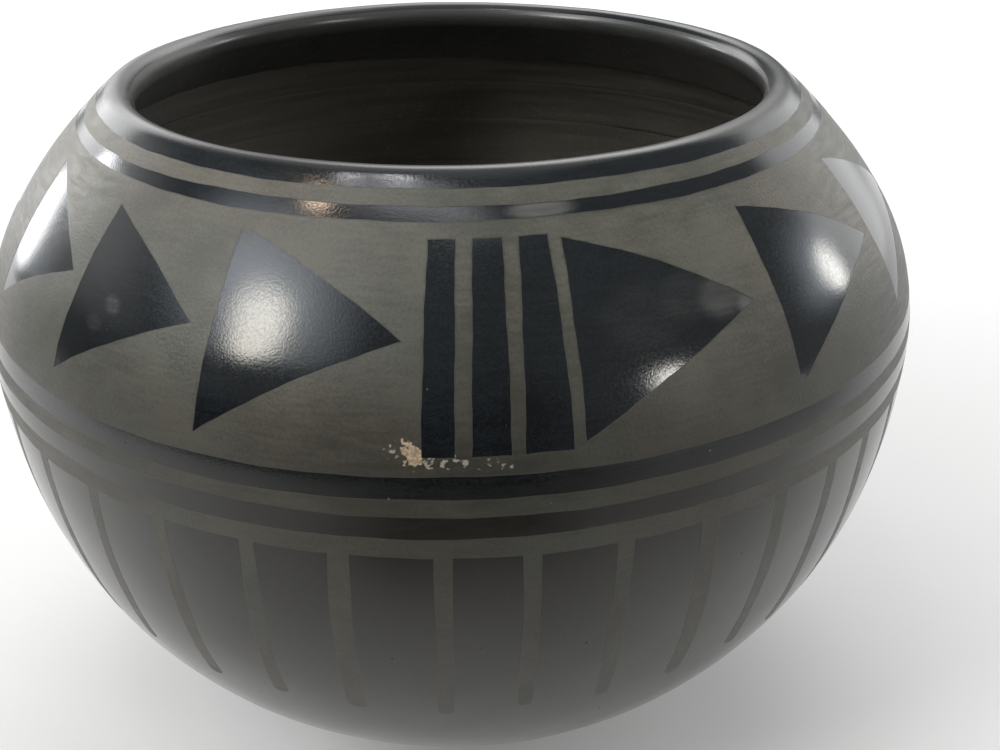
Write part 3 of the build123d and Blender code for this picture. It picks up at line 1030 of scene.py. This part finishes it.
# Lamps: name, azimuth, elevation, distance, width, height, radiance, softness of the edge, colour. They
# aim at a height on the axis. Places across a lamp run from 0 to 1, so its middle is at LAMP_HALF.
WHITE = (1.0, 1.0, 1.0)
COOL = (0.97, 0.98, 1.0)
LAMPS = (
    ("umbrella_core", -54.0, 36.0, 1.26, 0.34, 0.44, 10.6, 0.45, (1.0, 0.95, 0.83)),
    ("umbrella_rim", -62.0, 43.0, 1.30, 1.42, 0.94, 3.8, 0.95, (0.86, 0.92, 1.0)),
    ("warm_spot", -67.0, 62.0, 1.25, 0.20, 0.14, 20.0, 0.6, (1.0, 0.74, 0.54)),
    ("overhead", -50.0, 76.5, 1.20, 0.20, 0.12, 10.0, 0.5, COOL),
    ("overhead_side", -70.0, 70.5, 1.20, 0.16, 0.14, 9.0, 0.5, COOL),
    ("overhead_front", -22.0, 72.5, 1.20, 0.86, 0.26, 2.6, 0.8, COOL),
    ("ceiling", 180.0, 80.0, 1.40, 1.40, 1.20, 0.40, 0.4, WHITE),
    ("left_window", -128.0, 4.5, 1.30, 0.32, 0.40, 8.0, 0.5, COOL),
    ("left_window_top", -121.5, 19.0, 1.30, 0.30, 0.25, 10.6, 0.5, COOL),
    ("left_window_halo", -119.0, 8.0, 1.45, 0.56, 0.50, 0.8, 0.9, (0.92, 0.96, 1.0)),
    ("left_wall", -107.0, 24.0, 1.50, 1.50, 0.80, 0.6, 0.9, (1.0, 0.98, 0.95)),
    ("back_left_wall", -146.0, 18.0, 1.60, 1.40, 1.10, 2.8, 0.5, WHITE),
    ("right_front_lamp", 48.5, 19.5, 1.30, 0.21, 0.25, 15.0, 0.5, (1.0, 0.98, 0.90)),
    ("right_lamp", 104.0, 13.0, 1.30, 0.19, 0.27, 11.0, 0.5, (1.0, 0.98, 0.92)),
    ("right_halo", 101.0, 16.0, 1.40, 0.66, 0.62, 1.5, 0.9, (0.80, 0.89, 1.0)),
    ("right_wall", 128.0, 15.0, 1.60, 1.36, 1.55, 1.62, 0.45, WHITE),
    ("back_light", 168.0, 42.0, 1.60, 1.70, 1.25, 3.2, 0.6, WHITE),
)
LAMP_AIM = 0.10
LAMP_HALF = 0.5
ROOM_LIGHT = 0.26
ROOM_COLOUR = (0.95, 0.98, 1.0, 1)


def lamps():
    """Soft lamps round the jar, and an even room light."""
    for name, azimuth, elevation, distance, width, height, radiance, softness, colour in LAMPS:
        data = bpy.data.lights.new(name, "AREA")
        data.shape = "ELLIPSE"
        data.size = width
        data.size_y = height
        data.color = colour
        data.energy = radiance * math.pi * (math.pi / 4 * width * height)
        data.use_nodes = True
        tree = data.node_tree
        spread = add_node(tree, "ShaderNodeNewGeometry", {}).outputs["Parametric"]
        inputs = {0: spread, 1: (LAMP_HALF, LAMP_HALF, 0)}
        away = add_node(tree, "ShaderNodeVectorMath", inputs, operation="DISTANCE").outputs["Value"]
        strength = span(away, LAMP_HALF, LAMP_HALF * (1 - softness))
        tree.links.new(strength, tree.nodes["Emission"].inputs["Strength"])
        lamp = bpy.data.objects.new(name, data)
        level = math.cos(math.radians(elevation))
        reach = Vector(around(azimuth, distance * level, distance * math.sin(math.radians(elevation))))
        lamp.location = reach + Vector((0, 0, LAMP_AIM))
        lamp.rotation_euler = reach.to_track_quat("Z", "Y").to_euler()
        bpy.context.scene.collection.objects.link(lamp)
    world = bpy.data.worlds.new("room")
    world.use_nodes = True
    background = world.node_tree.nodes["Background"]
    background.inputs["Strength"].default_value = ROOM_LIGHT
    background.inputs["Color"].default_value = ROOM_COLOUR
    bpy.context.scene.world = world


# Pale floor. FLOOR_WHITE brightens it for the eye and for reflections.
FLOOR_RADIUS = 6.0
FLOOR_SIDES = 96
FLOOR_WHITE = 0.14
FLOOR_TONES = ((0.87, 0.87, 0.86, 1), (0.90, 0.90, 0.89, 1))

# Dark card round the front that only the polish shows, as painted shade. Its flat part lies round the jar
# as a painted shadow on the floor and fades in and out between radii, and its upright part stands at
# CARD_RADIUS.
CARD_INNER_RADIUS = 0.10
CARD_INNER_FADE = (0.105, 0.25)
CARD_FAR_START = (0.28, 0.45)
CARD_RADIUS = 0.60
CARD_OUTER_RADIUS = 1.10
CARD_LIFT = 0.003
CARD_TOP = 1.0
CARD_STEP = 3.0
CARD_FLAT_ROWS = 51
CARD_UPRIGHT_ROWS = 26
CARD_TONES = ((0.060, 0.052, 0.050, 1), (0.078, 0.067, 0.064, 1))

# How dark the card is towards azimuths: near the jar, further out on the floor, and standing up
CARD_AZIMUTHS = (-110, -93, -79, -62, -44, -26, -12, 12, 26, 34, 44, 62, 79, 100)
CARD_NEAR = (0, 0, 0, 0.05, 0.22, 0.43, 0.85, 0.86, 0.50, 0.42, 0.36, 0.16, 0.05, 0)
CARD_FAR = (0, 0, 0, 0.10, 0.31, 0.61, 0.92, 0.92, 0.72, 0.56, 0.42, 0.34, 0.32, 0)
CARD_UPRIGHT = (0, 0.40, 0.75, 0.88, 0.88, 0.88, 0.92, 0.92, 0.50, 0.10, 0, 0, 0, 0)

# Elevations between which the upright card fades out, at its sides and in its middle. The middle lies
# about an azimuth and gives way to the sides between two angles from it.
CARD_SIDE_FADE = (9.0, 20.0)
CARD_MIDDLE_FADE = (14.0, 62.0)
CARD_MIDDLE = 2.0
CARD_MIDDLE_REACH = (16.0, 34.0)


def card():
    """Dark card, painted shade that stands for the dim side of the room behind the camera and for a shadow
    on the floor, faded out at its edges.
    """
    azimuth = steps(CARD_AZIMUTHS[0], CARD_AZIMUTHS[-1], CARD_STEP)
    near = np.interp(azimuth, CARD_AZIMUTHS, CARD_NEAR)
    far = np.interp(azimuth, CARD_AZIMUTHS, CARD_FAR)
    radius = by_row(np.linspace(CARD_INNER_RADIUS, CARD_OUTER_RADIUS, CARD_FLAT_ROWS))
    outwards = smooth_step(radius, *CARD_FAR_START)
    edges = smooth_step(radius, *CARD_INNER_FADE) * smooth_step(radius, CARD_OUTER_RADIUS, CARD_RADIUS)
    # The flat part is a painted shadow on the floor in front of the jar
    flat = around(azimuth, radius, CARD_LIFT)
    flat_shade = edges * (near + (far - near) * outwards)

    dark = np.interp(azimuth, CARD_AZIMUTHS, CARD_UPRIGHT)
    middle = 1 - smooth_step(np.abs(azimuth - CARD_MIDDLE), *CARD_MIDDLE_REACH)
    height = by_row(np.linspace(CARD_LIFT, CARD_TOP, CARD_UPRIGHT_ROWS))
    elevation = np.degrees(np.arctan2(height - LAMP_AIM, CARD_RADIUS - BODY_RADIUS * MM))
    side_fade = smooth_step(elevation, *CARD_SIDE_FADE)
    middle_fade = smooth_step(elevation, *CARD_MIDDLE_FADE)
    upright = around(azimuth, CARD_RADIUS, height)
    upright_shade = dark * (1 - side_fade - (middle_fade - side_fade) * middle)

    points = np.concatenate([flat, upright]).reshape(-1, 3)
    faces = sheet_faces(CARD_FLAT_ROWS, len(azimuth), 0)
    faces += sheet_faces(CARD_UPRIGHT_ROWS, len(azimuth), flat_shade.size)
    mesh = bpy.data.meshes.new("dark_card")
    mesh.from_pydata(points.tolist(), [], faces)
    attribute = mesh.attributes.new("shade", "FLOAT", "POINT")
    attribute.data.foreach_set("value", np.concatenate([flat_shade, upright_shade]).ravel())
    material = stage_material("card", CARD_TONES)
    tree = material.node_tree
    shade = add_node(tree, "ShaderNodeAttribute", {}, attribute_name="shade").outputs["Fac"]
    tree.links.new(shade, tree.nodes["Principled BSDF"].inputs["Alpha"])
    mesh.materials.append(material)
    return mesh


def floor():
    """Pale round floor that the jar stands on."""
    mesh = bpy.data.meshes.new("floor")
    points = around(columns(FLOOR_SIDES), FLOOR_RADIUS, 0.0)
    mesh.from_pydata(points.tolist(), [], [list(range(FLOOR_SIDES))])
    material = stage_material("pale_floor", FLOOR_TONES)
    tree = material.node_tree
    shader = tree.nodes["Principled BSDF"]
    ray = add_node(tree, "ShaderNodeLightPath", {})
    seen = combine("MAXIMUM", ray.outputs["Is Camera Ray"], ray.outputs["Is Glossy Ray"])
    seen = combine("MAXIMUM", seen, ray.outputs["Is Transmission Ray"])
    tree.links.new(combine("MULTIPLY", seen, FLOOR_WHITE), shader.inputs["Emission Strength"])
    shader.inputs["Emission Color"].default_value = (1.0, 1.0, 1.0, 1)
    mesh.materials.append(material)
    return mesh


def stage():
    """Floor and card. The camera doesn't see the card, and it casts no shadow."""
    for mesh in (floor(), card()):
        piece = bpy.data.objects.new(mesh.name, mesh)
        bpy.context.scene.collection.objects.link(piece)
    dark_card = bpy.data.objects["dark_card"]
    dark_card.visible_camera = False
    dark_card.visible_shadow = False


clay = clay_material()
slip = slip_material("slip_finish", SLIP_TONES, SMUDGES_AND_HIGHLIGHTS, LIP_WEAR_AND_SHEEN, LIP_WORN_AND_SHEEN)
mouth = slip_material("mouth_slip_finish", MOUTH_TONES, MOUTH_PAINTED_LIGHT, MOUTH_WEAR_AND_SHEEN, MOUTH_WORN_AND_SHEEN)
paint = paint_material()
formed_base(clay)
wall_coils(clay)
rim(clay)
outer_slip(slip)
mouth_slip(mouth)
painted_lines(paint)
shoulder_field(paint)
hanging_strokes(paint)
stage()
camera()
lamps()
bpy.context.scene.view_settings.view_transform = "Standard"
